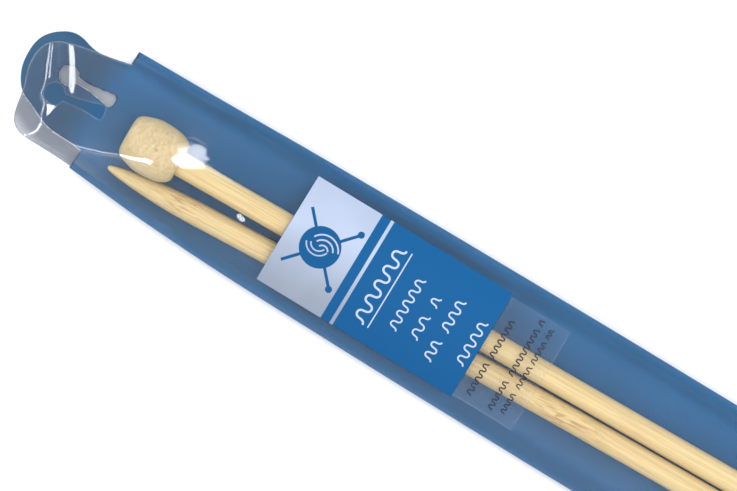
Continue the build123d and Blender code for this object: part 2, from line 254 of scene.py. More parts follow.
def spline(points, per=8):
    """Catmull-Rom through the points, open, with per steps to each."""
    p = np.array(points, float)
    p = np.vstack([2 * p[0] - p[1], p, 2 * p[-1] - p[-2]])
    out = []
    for i in range(1, len(p) - 2):
        for k in range(per):
            t = k / per
            out.append(
                0.5
                * (
                    2 * p[i]
                    + (p[i + 1] - p[i - 1]) * t
                    + (2 * p[i - 1] - 5 * p[i] + 4 * p[i + 1] - p[i + 2]) * t**2
                    + (3 * p[i] - p[i - 1] - 3 * p[i + 1] + p[i + 2]) * t**3
                )
            )
    out.append(p[-2])
    return np.array(out)


# ------------------------------------------------------------------ shapes of the design
def edges(x):
    """How far the +Y and the -Y edge stand from y = 0."""
    return smooth_table(EDGE_X, EDGE_TOP, x), smooth_table(EDGE_X, EDGE_BOTTOM, x)


def across(x, y):
    """Distance from the wallet's middle line, and from there to the side welds."""
    top, bottom = edges(x)
    return np.abs(y - (top - bottom) / 2), (top + bottom) / 2 - FLANGE


def closing(x, power):
    """0 along the wallet, rising to 1 at the end weld."""
    return ease((np.asarray(x, float) - BULGE_END) / (END_WELD_X - BULGE_END)) ** power


def back_z(x, y):
    """Underside of the blue sheet: a flat floor that turns up to the side welds."""
    off_centre, inner = across(x, y)
    flat = 0.69 * inner
    bottom = SEAM_Z * closing(x, 1.35)
    s = np.clip((off_centre - flat) / (inner - flat), 0.0, 1.0)
    return bottom + (SEAM_Z - bottom) * s**2.3 * (1 - 0.15 * s**6) / 0.85


def axis_a(x):
    """y, z of needle a's axis at x."""
    run = x - A_FACE_X
    return A_FACE_Y + YAW * run, KNOB_Z + KNOB_STATION * PITCH - PITCH * run


def axis_b(x):
    y = axis_a(x)[0] - B_GAP - B_BOW * (x - B_GAP_X) ** 2
    return y, KNOB_Z + PITCH * (x - (B_FACE_X - KNOB_STATION))


def slope_a(x):
    """Change of y and z along x."""
    return YAW, -PITCH


def slope_b(x):
    return YAW - 2 * B_BOW * (x - B_GAP_X), PITCH


def knob_radius(d):
    """Radius at d from the knob's outer face."""
    return smooth_table(*np.transpose(KNOB_PROFILE), d)


def shaft_radius(d):
    """Radius of shaft and point at d from the knob's outer face."""
    return smooth_table(*np.transpose(TIP_PROFILE), NEEDLE_L - d)


def needle_radius(d):
    radius = np.where(d <= KNOB_L, knob_radius(d), shaft_radius(d))
    return np.where((d < 0) | (d > NEEDLE_L), 0.0, radius)


# ------------------------------------------------------------------ the clear sheet's surface
def film_floor(x, y):
    """Lowest height the clear sheet's underside may take."""
    low = back_z(x, y) + BACK_T + 0.12
    for axis, face_x, sign in ((axis_a, A_FACE_X, 1), (axis_b, B_FACE_X, -1)):
        axis_y, axis_z = axis(x)
        radius = needle_radius(sign * (x - face_x)) + 0.25
        square = radius**2 - (y - axis_y) ** 2
        top = axis_z + np.sqrt(np.clip(square, 0, None))
        low = np.maximum(low, np.where((square > 0) & (radius > 0.26), top, 0.0))
    # flattened oval patch where the sheet leaves the knob
    patch = 15.95 - 0.172 * (x - 22) - 0.095 * (y + 1.0)
    on_patch = ((x - 26.6) / 5.0) ** 2 + ((y - 2.7) / 4.2) ** 2 < 1
    low = np.maximum(low, np.where(on_patch, patch, 0))
    # the tube keeps some roundness of its own
    arch_z = 11.6
    off_centre, inner = across(x, y)
    arch = 1 - np.clip(off_centre / inner, 0, 1) ** 2.6
    arch = FILM_SEAM_Z + (arch_z - FILM_SEAM_Z) * arch * (1 - closing(x, 2.5))
    return np.maximum(low, np.where(film_welded(x, y), 0, arch))


def film_welded(x, y):
    off_centre, inner = across(x, y)
    return (off_centre >= inner) | (x >= END_WELD_X - 0.6)


def film_field():
    """Height of the clear sheet's underside over the body: drawn tight over both
    needles and down to the weld bands, stiffer along the wallet than across it."""
    step_x, step_y = 1.0, 0.5
    xs = np.arange(0.0, END_WELD_X + 0.5 * step_x, step_x)
    ys = np.arange(-21.0, 21.01, step_y)
    x, y = np.meshgrid(xs, ys, indexing="ij")
    fixed = film_welded(x, y)
    low = film_floor(x, y)
    z = np.maximum(low, FILM_SEAM_Z)
    z[fixed] = FILM_SEAM_Z
    pull_x, pull_y = 16.0 / step_x**2, 1.0 / step_y**2
    i, j = np.meshgrid(np.arange(len(xs)), np.arange(len(ys)), indexing="ij")
    free = ~fixed
    free[:, 0] = free[:, -1] = False
    free[-1, :] = False
    checkers = [free & ((i + j) % 2 == c) for c in (0, 1)]
    # over-relaxation in checkerboard order, with plain steps at the end
    for sweep in range(700):
        over = 1.86 if sweep < 600 else 1.0
        for checker in checkers:
            ends = np.vstack([z[1:2], z[:-1]]) + np.vstack([z[1:], z[-1:]])
            sides = np.hstack([z[:, :1], z[:, :-1]]) + np.hstack([z[:, 1:], z[:, -1:]])
            new = (pull_x * ends + pull_y * sides) / (2 * pull_x + 2 * pull_y)
            z = np.where(checker, np.maximum(z + over * (new - z), low), z)
    # a little bending stiffness
    taut = z.copy()
    for _ in range(10):
        p = np.pad(z, 1, mode="edge")
        mean = 0.25 * (p[:-2, 1:-1] + p[2:, 1:-1]) + 0.25 * (p[1:-1, :-2] + p[1:-1, 2:])
        z = np.where(free, mean, z)
    z = np.maximum(z, np.where(free, np.minimum(low, taut), z))
    z[fixed] = FILM_SEAM_Z
    return xs, ys, z


FIELD_X, FIELD_Y, FIELD_Z = film_field()


def film_base(x, y):
    """Underside of the whole clear sheet without its folds, flap included."""
    body = sample(FIELD_Z, FIELD_X, FIELD_Y, x, y)
    body = np.where(film_welded(x, y), FILM_SEAM_Z, body)
    # past the mouth the sheet is free, and relaxes into a low arch
    flap = 14.3 - 5.2 * np.abs((y - 0.5) / 16.0) ** 2.6
    flap = flap + 0.02 * (x + 10) - 0.010 * (x + 12) ** 2 * (x < -12)
    s = ease(-x / 20.0)
    return body * (1 - s) + flap * s


def fold_height(x, y):
    height = np.zeros(np.shape(x))
    for line, amount, half, _ in FOLDS:
        dist, t = line_dist(x, y, spline(line))
        fade = ease(np.minimum(t, 1 - t) / 0.16)
        height = height + amount * fade / (1 + (dist / half) ** 2) ** 1.5
    return height


def film_z(x, y):
    """Underside of the clear sheet."""
    off_centre, inner = across(x, y)
    free = np.where((off_centre < inner - 0.2) | (x < 0), 1.0, 0.0)
    near = ease((x + 26) / 2.0) * (1 - ease((x - 30) / 8.0))
    return film_base(x, y) + fold_height(x, y) * near * free


def label_z(x, y):
    """Underside of the labels."""
    return film_z(x, y) + FILM_T + LABEL_LIFT


def painted_glint(x, y, poly, strength, soft):
    """strength inside the polygon, fading over the width soft at its edge."""
    return strength * ease((depth_inside(x, y, poly) + 0.46 * soft) / soft)


# painted highlights: where the sheet's gloss is turned toward the lamp, and how strongly
def glint_mask(x, y):
    out = np.zeros(len(x))
    for poly, strength in GLINTS:
        out = np.maximum(out, painted_glint(x, y, poly, strength, soft=0.26))
    broad = painted_glint(x, y, BROAD_GLINT, strength=0.8, soft=1.5)
    return np.maximum(out, broad * np.where(y > 2.5, 0.55, 1.0))


def glint_normal(x, y, z):
    """Turned normal for the painted highlights: half way between the lamp and the eye."""
    eye = np.array(EYE) - np.stack([x, y, z], 1)
    eye /= np.linalg.norm(eye, axis=1)[:, None]
    half_way = eye + np.array(KEY_DIR)
    return half_way / np.linalg.norm(half_way, axis=1)[:, None]


# ------------------------------------------------------------------ mesh makers
def new_object(name, verts, faces, smooth=True):
    mesh = bpy.data.meshes.new(name)
    mesh.from_pydata([tuple(v) for v in verts], [], faces)
    mesh.validate()
    mesh.update()
    if smooth:
        mesh.polygons.foreach_set("use_smooth", [True] * len(mesh.polygons))
    ob = bpy.data.objects.new(name, mesh)
    bpy.context.scene.collection.objects.link(ob)
    return ob


def attribute(ob, name, values):
    """One number or one vector for each vertex."""
    values = np.asarray(values, np.float32)
    kind, field = ("FLOAT_VECTOR", "vector") if values.ndim == 2 else ("FLOAT", "value")
    ob.data.attributes.new(name, kind, "POINT").data.foreach_set(field, values.ravel())


def sheet_attribute(ob, name, values):
    """The same values on the underside and the top of a sheet."""
    attribute(ob, name, np.concatenate([values, values]))


def plan_mesh(outline, holes, inner, marks=()):
    """Triangles of a flat outline with holes. marks are closed polygons whose edges
    the triangles keep. Returns points (n, 2) and triangles, counter-clockwise."""
    points, rims = [], []
    for poly in (outline, *holes, *marks):
        first = len(points)
        points += [(float(p[0]), float(p[1])) for p in poly]
        rims += [(first + k, first + (k + 1) % len(poly)) for k in range(len(poly))]

    def in_plan(places):
        keep = inside(places[:, 0], places[:, 1], outline)
        for hole in holes:
            keep &= ~inside(places[:, 0], places[:, 1], hole)
        return keep

    inner = np.asarray(inner, float)
    inner = inner[in_plan(inner)]
    # inner points keep clear of the edges
    keep = np.ones(len(inner), bool)
    for point in points:
        keep &= ((inner - np.array(point)) ** 2).sum(axis=1) >= 0.16**2
    points += [(float(p[0]), float(p[1])) for p in inner[keep]]
    result = delaunay_2d_cdt([Vector(p) for p in points], rims, [], 1, 1e-5)
    verts = np.array([(p[0], p[1]) for p in result[0]])
    tris = np.array([t for t in result[2] if len(t) == 3])
    tris = tris[in_plan(verts[tris].mean(axis=1))]
    corners = verts[tris]
    side1, side2 = corners[:, 1] - corners[:, 0], corners[:, 2] - corners[:, 0]
    area = side1[:, 0] * side2[:, 1] - side2[:, 0] * side1[:, 1]
    tris = np.where((area < 0)[:, None], tris[:, ::-1], tris)
    tris = tris[np.abs(area) > 1e-7]
    used = np.unique(tris)
    renumber = np.full(len(verts), -1)
    renumber[used] = np.arange(len(used))
    return verts[used], renumber[tris]


def thick_sheet(name, plan, tris, low, thick):
    """Closed sheet: low(x, y) is its underside, thick is measured along its normal."""
    x, y = plan.T
    d = 0.05
    slope_x = np.clip((low(x + d, y) - low(x - d, y)) / (2 * d), -2.5, 2.5)
    slope_y = np.clip((low(x, y + d) - low(x, y - d)) / (2 * d), -2.5, 2.5)
    normal = np.stack([-slope_x, -slope_y, np.ones(len(plan))], 1)
    normal /= np.linalg.norm(normal, axis=1)[:, None]
    bottom = np.stack([x + MOUTH_X, y, low(x, y)], 1)
    verts = np.vstack([bottom, bottom + normal * thick]) * MM
    count = len(plan)
    faces = [tuple(int(i) for i in t[::-1]) for t in tris]
    faces += [tuple(int(i) + count for i in t) for t in tris]
    # a dict, because the rim faces follow its order
    sides = {}
    for t in tris:
        for a, b in ((t[0], t[1]), (t[1], t[2]), (t[2], t[0])):
            sides[(int(a), int(b))] = True
    rim = [(a, b) for a, b in sides if (b, a) not in sides]
    faces += [(a, b, b + count, a + count) for a, b in rim]
    ob = new_object(name, verts, faces)
    # the cut edge stays crisp
    rim = {frozenset(side) for side in rim}
    mesh = ob.data
    sharp = np.zeros(len(mesh.edges), bool)
    for edge in mesh.edges:
        a, b = edge.vertices
        if frozenset((a % count, b % count)) in rim and (a < count) == (b < count):
            sharp[edge.index] = True
    mesh.attributes.new("sharp_edge", "BOOLEAN", "EDGE").data.foreach_set("value", sharp)
    # local place for the textures: plan x and y, 0 below and 1 on top
    attribute(ob, "lp", np.vstack([np.c_[plan, np.zeros(count)], np.c_[plan, np.ones(count)]]))
    return ob


def plan_grid(x_from, x_to, y_from, y_to, pitch):
    """Staggered points."""
    out = []
    row = 0
    y = y_from
    while y <= y_to:
        offset = 0.5 * pitch if row % 2 else 0.0
        out += [(x, y) for x in np.arange(x_from + offset, x_to, pitch)]
        y += pitch * 0.866
        row += 1
    return out


def resample(poly, step):
    """The closed polygon with no edge longer than step."""
    poly = np.array(poly, float)
    out = []
    for i in range(len(poly)):
        a, b = poly[i], poly[(i + 1) % len(poly)]
        k = max(1, int(math.ceil(math.hypot(*(b - a)) / step)))
        out += [tuple(a + (b - a) * t / k) for t in range(k)]
    return out


def dedupe(poly, tol=0.02):
    out = [tuple(poly[0])]
    for p in poly[1:]:
        if math.hypot(p[0] - out[-1][0], p[1] - out[-1][1]) > tol:
            out.append((float(p[0]), float(p[1])))
    if math.hypot(out[0][0] - out[-1][0], out[0][1] - out[-1][1]) <= tol:
        out.pop()
    return out


def body_outline(tongue):
    """Plan outline, counter-clockwise from the mouth's -Y corner."""
    corner_x = BODY_L - CORNER_R
    xs = np.concatenate([np.arange(0, 140, 2.0), np.arange(140, corner_x, 4.0), [corner_x]])
    top = [(x, float(edges(x)[0])) for x in xs]
    bottom = [(x, -float(edges(x)[1])) for x in xs]
    turn = np.linspace(0, math.pi / 2, 9)
    bottom_corner = [
        (corner_x + CORNER_R * math.sin(a), bottom[-1][1] + CORNER_R - CORNER_R * math.cos(a))
        for a in turn
    ]
    top_corner = [
        (corner_x + CORNER_R * math.cos(a), top[-1][1] - CORNER_R + CORNER_R * math.sin(a))
        for a in turn
    ]
    poly = bottom + bottom_corner + top_corner + top[::-1]
    return dedupe(poly + [tuple(p) for p in spline(tongue, 5)])


def keyhole(at_x, at_y, turn=0.0):
    """Round hole at the place given, its slot flaring towards +X, turned by degrees."""
    start = math.asin(SLOT_HALF / HOLE_R)
    round_end = [
        (HOLE_R * math.cos(a), HOLE_R * math.sin(a))
        for a in np.linspace(start, 2 * math.pi - start, 44)
    ]
    slot = [(4.2, -0.86), (6.8, -0.98), (9.5, -1.3), (HOLE_L - 1.3, -1.9)]
    lower = [tuple(p) for p in spline(slot, 4)]
    lower += [(HOLE_L - 0.75, -1.8), (HOLE_L - 0.3, -1.42), (HOLE_L, -0.6)]
    upper = [(x, -y) for x, y in lower][::-1]
    c, s = math.cos(math.radians(turn)), math.sin(math.radians(turn))
    poly = dedupe(round_end + lower + upper)
    return [(at_x + c * x - s * y, at_y + s * x + c * y) for x, y in poly]


# ------------------------------------------------------------------ node tree helpers
class Nodes:
    """Short words for building the node tree of a material or world."""

    def __init__(self, owner, output):
        self.owner = owner
        owner.use_nodes = True
        self.tree = owner.node_tree
        self.tree.nodes.clear()
        self.output = self.add(output)

    def put(self, socket, value):
        """Link a socket, or set its value. Colours are given without alpha."""
        if isinstance(value, bpy.types.NodeSocket):
            self.tree.links.new(value, socket)
        elif isinstance(value, tuple):
            socket.default_value = (*value, 1.0)[: len(socket.default_value)]
        else:
            socket.default_value = value

    def add(self, kind, inputs=None, **props):
        node = self.tree.nodes.new("ShaderNode" + kind)
        for name, value in props.items():
            setattr(node, name, value)
        for key, value in (inputs or {}).items():
            self.put(node.inputs[key], value)
        return node

    def surface(self, shader):
        self.put(self.output.inputs[0], shader)
        return self.owner

    def principled(self, inputs):
        return self.surface(self.add("BsdfPrincipled", inputs).outputs[0])

    def math(self, operation, *terms, clamp=False):
        inputs = dict(enumerate(terms))
        return self.add("Math", inputs, operation=operation, use_clamp=clamp).outputs[0]

    def times(self, a, b, clamp=False):
        return self.math("MULTIPLY", a, b, clamp=clamp)

    def plus(self, a, b, clamp=False):
        return self.math("ADD", a, b, clamp=clamp)

    def power(self, a, b):
        return self.math("POWER", a, b)

    def vector_math(self, operation, a, b):
        return self.add("VectorMath", {0: a, 1: b}, operation=operation).outputs[0]

    def attr(self, name, output="Fac"):
        return self.add("Attribute", attribute_name=name).outputs[output]

    def component(self, vector, axis):
        return self.add("SeparateXYZ", {0: vector}).outputs["XYZ".index(axis)]

    def noise(self, vector, stretch=None, scale=1.0, detail=3.0, rough=0.6, distort=0.0):
        if stretch:
            vector = self.vector_math("MULTIPLY", vector, stretch)
        inputs = {"Vector": vector, "Scale": scale, "Detail": detail, "Roughness": rough,
                  "Distortion": distort}
        return self.add("TexNoise", inputs).outputs["Fac"]

    def ramp(self, factor, stops):
        node = self.add("ValToRGB", {0: factor})
        elements = node.color_ramp.elements
        while len(elements) < len(stops):
            elements.new(0.5)
        for element, (position, colour) in zip(elements, stops):
            element.position = position
            element.color = (*colour, 1.0)
        return node.outputs[0]

    def mix(self, factor, a, b):
        return self.add("Mix", {0: factor, 6: a, 7: b}, data_type="RGBA").outputs[2]

    def mix_shader(self, factor, a, b):
        return self.add("MixShader", {0: factor, 1: a, 2: b}).outputs[0]

    def bump(self, height, strength, distance):
        inputs = {"Strength": strength, "Distance": distance, "Height": height}
        return self.add("Bump", inputs).outputs[0]

    def step(self, value, start, end):
        inputs = {0: value, 1: start, 2: end}
        return self.add("MapRange", inputs, interpolation_type="SMOOTHSTEP").outputs[0]

    def stain(self, base, source, edges, amount, colour):
        """Colour laid on where source passes from the first edge to the second."""
        return self.mix(self.times(self.step(source, *edges), amount), base, colour)

    def facing(self):
        return self.add("LayerWeight", {"Blend": 0.5}).outputs["Facing"]


def new_material(name):
    return Nodes(bpy.data.materials.new(name), "OutputMaterial")


def srgb(*channels):
    return tuple(
        ((c / 255 + 0.055) / 1.055) ** 2.4 if c > 10 else c / 255 / 12.92 for c in channels
    )


# ------------------------------------------------------------------ materials
def wood_place(nodes, offset):
    return nodes.vector_math("ADD", nodes.attr("lp", "Vector"), offset)


def painted_edge_shade(nodes, base):
    """Painted shade: the wood is darkened where it turns away from the eye."""
    away = nodes.times(nodes.power(nodes.facing(), 1.4), 0.75)
    return nodes.mix(away, base, (0.40, 0.34, 0.19))


def bamboo_material(name, seed):
    nodes = new_material(name)
    place = wood_place(nodes, (seed * 37.0, seed * 5.3, seed * 2.1))
    # every grain is drawn out along the needle
    broad = nodes.noise(place, (0.012, 0.42, 0.42), rough=0.5, distort=0.3)
    streak = nodes.noise(place, (0.02, 1.9, 1.9), detail=4.0, distort=0.15)
    fibre = nodes.noise(place, (0.05, 7.5, 7.5), rough=0.65)
    vessel = nodes.noise(place, (0.09, 4.4, 4.4), detail=1.0, rough=0.4)
    base = nodes.ramp(streak, [
        (0.26, (0.60, 0.415, 0.165)), (0.42, (0.745, 0.55, 0.250)),
        (0.58, (0.835, 0.635, 0.300)), (0.78, (0.88, 0.70, 0.365)),
    ])
    base = nodes.stain(base, broad, edges=(0.5, 0.68), amount=0.45, colour=(0.62, 0.415, 0.165))
    base = nodes.stain(base, vessel, edges=(0.60, 0.70), amount=0.42, colour=srgb(188, 146, 88))
    base = nodes.stain(base, fibre, edges=(0.52, 0.72), amount=0.22, colour=srgb(203, 163, 102))
    # flame figure where the culm's joint was
    figure = nodes.attr("figure")
    wobble = nodes.noise(place, (0.10, 0.9, 0.9), distort=0.8)
    along = nodes.times(nodes.component(place, "X"), 0.55)
    wave = nodes.math("SINE", nodes.plus(along, nodes.times(wobble, 24.0)))
    flame = nodes.times(nodes.step(wave, 0.25, 0.92), figure)
    base = nodes.mix(nodes.times(flame, 0.72), base, srgb(168, 120, 64))
    height = nodes.plus(nodes.times(fibre, 0.6), nodes.times(streak, 0.4))
    return nodes.principled({
        "Base Color": painted_edge_shade(nodes, base),
        "Roughness": nodes.plus(0.36, nodes.times(fibre, 0.2)),
        "Specular IOR Level": 0.35,
        "Coat Weight": 0.12,
        "Coat Roughness": 0.3,
        "Normal": nodes.bump(height, strength=0.35, distance=0.00012),
    })


def knob_material(name, seed):
    nodes = new_material(name)
    place = wood_place(nodes, (seed * 11.0, seed * 7.3, seed * 3.1))
    # grain runs across the knob, turned from a plank
    cloud = nodes.noise(place, (0.16, 0.10, 0.16))
    grain = nodes.noise(place, (0.55, 0.16, 0.55), rough=0.5, distort=0.1)
    speck = nodes.noise(place, (2.4, 1.7, 2.4), rough=0.65)
    base = nodes.ramp(grain, [
        (0.25, (0.62, 0.475, 0.242)), (0.45, (0.685, 0.53, 0.285)),
        (0.62, (0.74, 0.59, 0.335)), (0.8, (0.80, 0.66, 0.40)),
    ])
    base = nodes.stain(base, cloud, edges=(0.48, 0.7), amount=0.4, colour=(0.76, 0.56, 0.26))
    dots = nodes.noise(place, (1.5, 1.1, 1.5), detail=1.0, rough=0.5)
    base = nodes.stain(base, speck, edges=(0.49, 0.60), amount=0.36, colour=srgb(178, 148, 96))
    base = nodes.stain(base, speck, edges=(0.46, 0.34), amount=0.32, colour=srgb(242, 226, 184))
    base = nodes.stain(base, dots, edges=(0.60, 0.68), amount=0.28, colour=srgb(150, 122, 80))
    base = nodes.mix(nodes.times(nodes.attr("pore"), 0.6), base, srgb(150, 128, 96))
    height = nodes.plus(nodes.times(speck, 0.5), nodes.times(grain, 0.5))
    return nodes.principled({
        "Base Color": painted_edge_shade(nodes, base),
        "Roughness": nodes.plus(0.44, nodes.times(speck, 0.2)),
        "Specular IOR Level": 0.3,
        "Normal": nodes.bump(height, strength=0.3, distance=0.00015),
    })


def blue_material():
    nodes = new_material("blue_vinyl")
    place = nodes.attr("lp", "Vector")
    cloud = nodes.noise(place, (0.05, 0.05, 0.05))
    fine = nodes.noise(place, (3.0, 3.0, 3.0), detail=2.0)
    base = nodes.ramp(cloud, [
        (0.3, (0.007, 0.097, 0.240)), (0.5, (0.009, 0.107, 0.262)), (0.72, (0.012, 0.117, 0.282)),
    ])
    base = nodes.mix(nodes.times(fine, 0.03), base, (0.05, 0.16, 0.34))
    # painted shade: greyer, darker blue on the tongue, towards -Y and beside knob a
    base = nodes.mix(nodes.attr("pale"), base, (0.034, 0.095, 0.184))
    # painted shade: the welds are darkened (the weld mask also carries their ribs)
    base = nodes.mix(nodes.times(nodes.attr("weld"), 0.45), base, (0.008, 0.080, 0.190))
    # painted light: brighter along the turned-up sides and beside the labels
    base = nodes.mix(nodes.attr("lift"), base, (0.020, 0.175, 0.420))
    # the welds are ribbed across their length
    rib = nodes.math("SINE", nodes.times(nodes.component(place, "X"), 6.5))
    ribs = nodes.times(nodes.times(rib, nodes.attr("weld")), 0.6)
    height = nodes.plus(nodes.times(fine, 0.4), ribs)
    return nodes.principled({
        "Base Color": base,
        "Roughness": nodes.plus(0.30, nodes.times(fine, 0.22)),
        "Specular IOR Level": 0.15,
        "Normal": nodes.bump(height, strength=0.025, distance=0.00005),
    })


def film_material(name, tone):
    """Thin clear sheet: see-through, with a sheen that grows at grazing angles and a
    faint milkiness where it stands off what is behind it. Painted shade darkens it
    where set, and painted highlights turn its gloss toward the lamp."""
    nodes = new_material(name)
    place = nodes.attr("lp", "Vector")
    cloud = nodes.noise(place, (0.09, 0.09, 0.09))
    smear = nodes.noise(place, (0.25, 1.1, 0.6), distort=0.5)
    fine = nodes.noise(place, (1.6, 1.6, 1.6), detail=2.0, rough=0.5)

    # clear part, darkened by painted shade; the shade only counts when seen from above
    incoming = nodes.add("NewGeometry").outputs["Incoming"]
    from_above = nodes.step(nodes.component(incoming, "Z"), 0.90, 0.98)
    shade = nodes.times(nodes.attr("shade"), from_above)
    tint = nodes.plus(nodes.attr("tint"), shade, clamp=True)
    colour = nodes.mix(tint, tone, (0.45, 0.472, 0.512))
    clear = nodes.add("BsdfTransparent", {0: colour}).outputs[0]

    # milky part; along the folds it is raised as a painted highlight
    white = {"Color": (0.80, 0.84, 0.93)}
    milk = nodes.mix_shader(
        0.4,
        nodes.add("BsdfDiffuse", white).outputs[0],
        nodes.add("BsdfTranslucent", white).outputs[0],
    )
    smeared = nodes.plus(0.75, nodes.times(smear, 0.5))
    haze = nodes.times(nodes.attr("haze"), smeared, clamp=True)
    sheet = nodes.mix_shader(haze, clear, milk)

    # sheen; the painted highlights (gloss normal turned toward the lamp) only count while the
    # sheet lies face up
    glint = nodes.attr("glint")
    normal = nodes.add("NewGeometry").outputs["Normal"]
    face_up = nodes.step(nodes.component(normal, "Z"), 0.6, 0.8)
    mask = nodes.times(nodes.step(glint, 0.0, 0.3), face_up)
    uneven = nodes.plus(fine, nodes.times(cloud, 3.0))
    turned = nodes.add("Mix", {
        0: mask,
        4: nodes.bump(uneven, strength=0.035, distance=0.00008),
        5: nodes.attr("glint_n", "Vector"),
    }, data_type="VECTOR").outputs[1]
    gloss = nodes.add("BsdfGlossy", {
        "Color": (0.97, 0.98, 1),
        "Roughness": nodes.plus(0.06, nodes.times(cloud, 0.06)),
        "Normal": turned,
    }).outputs[0]

    # its strength: straight on, at grazing angles, in between, and raised on the painted
    # highlights
    facing = nodes.facing()
    sheen = nodes.plus(0.008, nodes.times(nodes.power(facing, 4.5), 0.85))
    sheen = nodes.plus(sheen, nodes.times(nodes.power(facing, 1.7), 0.14))
    patches = nodes.noise(place, (0.9, 0.9, 0.9), rough=0.7)
    patchy = nodes.plus(0.45, nodes.times(patches, 1.1))
    flash = nodes.times(nodes.times(mask, glint), nodes.times(patchy, 0.034))
    return nodes.surface(nodes.mix_shader(nodes.plus(sheen, flash), sheet, gloss))


def print_material(name, light, dark, metallic=0.0, rough=0.42):
    """Printed label stock. Painted shade: the tone runs from dark at -Y to light at +Y, with a
    fine tooth.
    """
    nodes = new_material(name)
    place = nodes.attr("lp", "Vector")
    fine = nodes.noise(place, (5.0, 5.0, 5.0), rough=0.7)
    cloud = nodes.noise(place, (0.10, 0.07, 0.1), detail=2.0, rough=0.5)
    # painted shade: darker towards -Y, lighter towards +Y
    tone = nodes.step(nodes.component(place, "Y"), -17.0, 16.0)
    clouding = nodes.times(nodes.math("SUBTRACT", cloud, 0.5), 0.5)
    tone = nodes.plus(tone, clouding, clamp=True)
    base = nodes.mix(tone, dark, light)
    return nodes.principled({
        "Base Color": nodes.mix(nodes.times(fine, 0.03), base, (0.4, 0.45, 0.5)),
        "Metallic": metallic,
        "Roughness": nodes.plus(rough, nodes.times(fine, 0.15)),
        "Specular IOR Level": 0.06,
        "Normal": nodes.bump(fine, strength=0.15, distance=0.00006),
    })


# ------------------------------------------------------------------ needles
def lathe(name, rings, segments):
    """rings: (centre, tangent, radius, along). Ends are closed with a point.
    Returns the object and its local places: along, and the two offsets from the axis."""
    verts, places = [], []
    angles = np.linspace(0, 2 * math.pi, segments, endpoint=False)
    for centre, tangent, radius, along in rings:
        tangent = np.array(tangent, float)
        tangent /= np.linalg.norm(tangent)
        side = np.cross(np.array([0.0, 0.0, 1.0]), tangent)
        side /= np.linalg.norm(side)
        rise = np.cross(tangent, side)
        for a in angles:
            offset = side * math.cos(a) * radius + rise * math.sin(a) * radius
            verts.append((np.array(centre) + offset) * MM)
            places.append((along, math.cos(a) * radius, math.sin(a) * radius))
    loop = [(j, (j + 1) % segments) for j in range(segments)]
    last = len(rings) - 1
    faces = []
    for i in range(last):
        near, far = i * segments, (i + 1) * segments
        faces += [(near + j, near + k, far + k, far + j) for j, k in loop]
    for i in (0, last):
        centre, _, _, along = rings[i]
        middle = len(verts)
        verts.append(np.array(centre) * MM)
        places.append((along, 0, 0))
        for j, k in loop:
            a, b = i * segments + j, i * segments + k
            faces.append((b, a, middle) if i == 0 else (a, b, middle))
    ob = new_object(name, verts, faces)
    attribute(ob, "lp", places)
    bm = bmesh.new()
    bm.from_mesh(ob.data)
    bmesh.ops.recalc_face_normals(bm, faces=bm.faces)
    bm.to_mesh(ob.data)
    bm.free()
    return ob, np.array(places)


def crease(ob, degrees):
    """Edges sharper than this stay crisp."""
    limit = math.radians(degrees)
    bm = bmesh.new()
    bm.from_mesh(ob.data)
    for edge in bm.edges:
        edge.smooth = not (len(edge.link_faces) == 2 and edge.calc_face_angle(0) > limit)
    bm.to_mesh(ob.data)
    bm.free()


def build_knob(tag, seed, ring):
    # the outer face, then the turned side
    rings = [ring(0.0, radius) for radius in (0.8, 2.2, 3.4, 4.3)]
    stations = np.concatenate([
        np.linspace(0.05, 2.0, 14),
        np.linspace(2.25, KNOB_L - 1.8, 30),
        np.linspace(KNOB_L - 1.6, KNOB_L, 12),
    ])
    rings += [ring(d, float(knob_radius(d))) for d in stations]
    # shoulder face, dished a little where the shaft enters
    shoulder = ((0.0, 4.85), (0.02, 4.1), (0.12, 3.6), (0.3, 3.2))  # depth, radius
    rings += [ring(KNOB_L - depth, radius) for depth, radius in shoulder]
    knob, places = lathe(f"knob_{tag}", rings, segments=112)
    # end-grain pore on the side that faces up
    dist = np.hypot(places[:, 0] - 8.9, places[:, 1] - 0.1)
    attribute(knob, "pore", np.clip(1.3 - dist / 0.55, 0, 1) * (places[:, 2] > 2))
    knob.data.materials.append(knob_material(f"turned_wood_{tag}", seed))
    crease(knob, degrees=50)
    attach(knob, f"needle_{tag}")
    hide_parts(f"needle_{tag}_head")


def build_shaft(tag, seed, ring, figures):
    """figures: place along, half length and angle round the shaft of each flame figure."""
    tip_start, round_start = NEEDLE_L - TIP_L, NEEDLE_L - 1.6
    stations = np.concatenate([
        np.arange(KNOB_L, tip_start, 2.0),
        np.linspace(tip_start, round_start, 34),
        round_start + 1.6 * np.sin(np.linspace(0.08, math.pi / 2, 16)),
    ])
    # the shaft starts inside the knob, a little thinner
    rings = [ring(KNOB_L - 1.5, SHAFT_R - 0.15)]
    rings += [ring(d, max(float(shaft_radius(d)), 0.02)) for d in stations]
    shaft, places = lathe(f"shaft_{tag}", rings, segments=72)
    figure = np.zeros(len(places))
    angle = np.arctan2(places[:, 2], places[:, 1])
    for middle, half, side in figures:
        spot = np.exp(-(((places[:, 0] - middle) / half) ** 2))
        spot *= 0.25 + 0.75 * np.clip(np.cos(angle - side), 0, 1)
        figure = np.maximum(figure, spot)
    attribute(shaft, "figure", figure)
    shaft.data.materials.append(bamboo_material(f"bamboo_{tag}", seed))
    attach(shaft, f"needle_{tag}")
    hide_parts(f"needle_{tag}_shaft")


def build_needle(tag, axis, slope, face_x, sign, seed, figures):
    """face_x: the knob's outer face. sign: +1 when the needle runs to +X."""
    def ring(d, radius):
        x = face_x + sign * d
        y, z = axis(x)
        slope_y, slope_z = slope(x)
        return (MOUTH_X + x, y, z), (sign, sign * slope_y, sign * slope_z), radius, d

    build_knob(tag, seed, ring)
    build_shaft(tag, seed, ring, figures)


